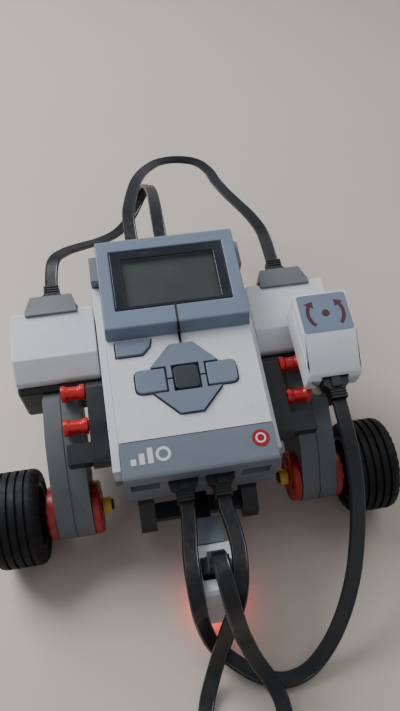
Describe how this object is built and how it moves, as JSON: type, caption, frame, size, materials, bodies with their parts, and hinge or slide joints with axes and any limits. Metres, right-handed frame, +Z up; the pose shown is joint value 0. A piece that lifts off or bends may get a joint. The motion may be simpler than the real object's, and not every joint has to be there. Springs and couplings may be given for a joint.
{
  "type": "line follower robot",
  "caption": "Wheeled floor robot with a tilted programmable controller, geared drive motors, a ball caster, a downward colour sensor, a turn-rate sensor and loose cables.",
  "frame": {"origin": "on the floor under the middle of the robot's box, cables and their plugs left out", "axes": "+X to the robot's right side seen from behind the screen, -Y towards the wheels and the colour sensor, +Z up"},
  "size_m": [0.184, 0.3283, 0.1013],
  "materials": {
    "white": "satin moulded",
    "light_grey": "satin moulded",
    "display_grey": "fine texture",
    "dark_grey": "satin moulded",
    "black": "satin moulded",
    "red": "glossy moulded",
    "yellow": "glossy moulded",
    "tyre": "grooved tread",
    "glass": "tinted window",
    "lcd": "display panel",
    "board": "lacquered board",
    "steel": "polished",
    "cable": "flexible jacket",
    "sensor_window": "clear red window"
  },
  "bodies": {
    "root": {"battery_pack": "light_grey", "caster_cup": "black", "caster_mount": "black", "circuit_board": "board", "colour_sensor_cable": "cable", "colour_sensor_housing": "white", "colour_sensor_lens": "sensor_window", "colour_sensor_plug_at_controller": "black", "display_bezel": "display_grey", "front_frame": "black", "gyro_cable": "cable", "gyro_housing": "white", "gyro_mount": "black", "gyro_plug_at_controller": "black", "lcd_module": "lcd", "left_front_pin": "red", "left_motor_arm": "light_grey", "left_motor_body": "dark_grey", "left_motor_cable": "cable", "left_motor_can": "steel", "left_motor_hood": "white", "left_motor_rear_cap": "light_grey", "left_plug_at_controller": "black", "left_plug_at_motor": "black", "left_rear_pin": "red", "left_side_beam": "black", "lower_case": "light_grey", "plug_at_colour_sensor": "black", "plug_at_gyro": "black", "right_front_pin": "red", "right_motor_arm": "light_grey", "right_motor_body": "dark_grey", "right_motor_cable": "cable", "right_motor_can": "steel", "right_motor_hood": "white", "right_motor_rear_cap": "light_grey", "right_plug_at_controller": "black", "right_plug_at_motor": "black", "right_rear_pin": "red", "right_side_beam": "black", "screen_lens": "glass", "sensor_arm": "black", "white_cover": "white"},
    "left_wheel": {"left_drive_hub": "red", "left_cross_axle": "black", "left_half_bush": "yellow", "left_rim": "black", "left_tyre": "tyre"},
    "right_wheel": {"right_drive_hub": "red", "right_cross_axle": "black", "right_half_bush": "yellow", "right_rim": "black", "right_tyre": "tyre"},
    "caster_roller": {"caster_ball": "steel"},
    "key_up_body": {"key_up": "light_grey"},
    "key_down_body": {"key_down": "light_grey"},
    "key_left_body": {"key_left": "light_grey"},
    "key_right_body": {"key_right": "light_grey"},
    "key_back_body": {"key_back": "light_grey"},
    "key_centre_body": {"key_centre": "dark_grey"}
  },
  "joints": [
    {"name": "left_wheel_spin", "type": "hinge", "parent": "root", "child": "left_wheel", "pos_m": [-0.056, -0.02172, 0.0216], "axis": [1, 0, 0], "continuous": true},
    {"name": "right_wheel_spin", "type": "hinge", "parent": "root", "child": "right_wheel", "pos_m": [0.056, -0.02172, 0.0216], "axis": [1, 0, 0], "continuous": true},
    {"name": "caster_roll", "type": "hinge", "parent": "root", "child": "caster_roller", "pos_m": [0, 0.06241, 0.009], "axis": [1, 0, 0], "continuous": true},
    {"name": "key_up_press", "type": "slide", "parent": "root", "child": "key_up_body", "axis": [0, 0.2588, -0.9659], "range_m": [0, 0.001], "stiffness_N_per_m": 300},
    {"name": "key_down_press", "type": "slide", "parent": "root", "child": "key_down_body", "axis": [0, 0.2588, -0.9659], "range_m": [0, 0.001], "stiffness_N_per_m": 300},
    {"name": "key_left_press", "type": "slide", "parent": "root", "child": "key_left_body", "axis": [0, 0.2588, -0.9659], "range_m": [0, 0.001], "stiffness_N_per_m": 300},
    {"name": "key_right_press", "type": "slide", "parent": "root", "child": "key_right_body", "axis": [0, 0.2588, -0.9659], "range_m": [0, 0.001], "stiffness_N_per_m": 300},
    {"name": "key_back_press", "type": "slide", "parent": "root", "child": "key_back_body", "axis": [0, 0.2588, -0.9659], "range_m": [0, 0.001], "stiffness_N_per_m": 300},
    {"name": "key_centre_press", "type": "slide", "parent": "root", "child": "key_centre_body", "axis": [0, 0.2588, -0.9659], "range_m": [0, 0.001], "stiffness_N_per_m": 300}
  ]
}
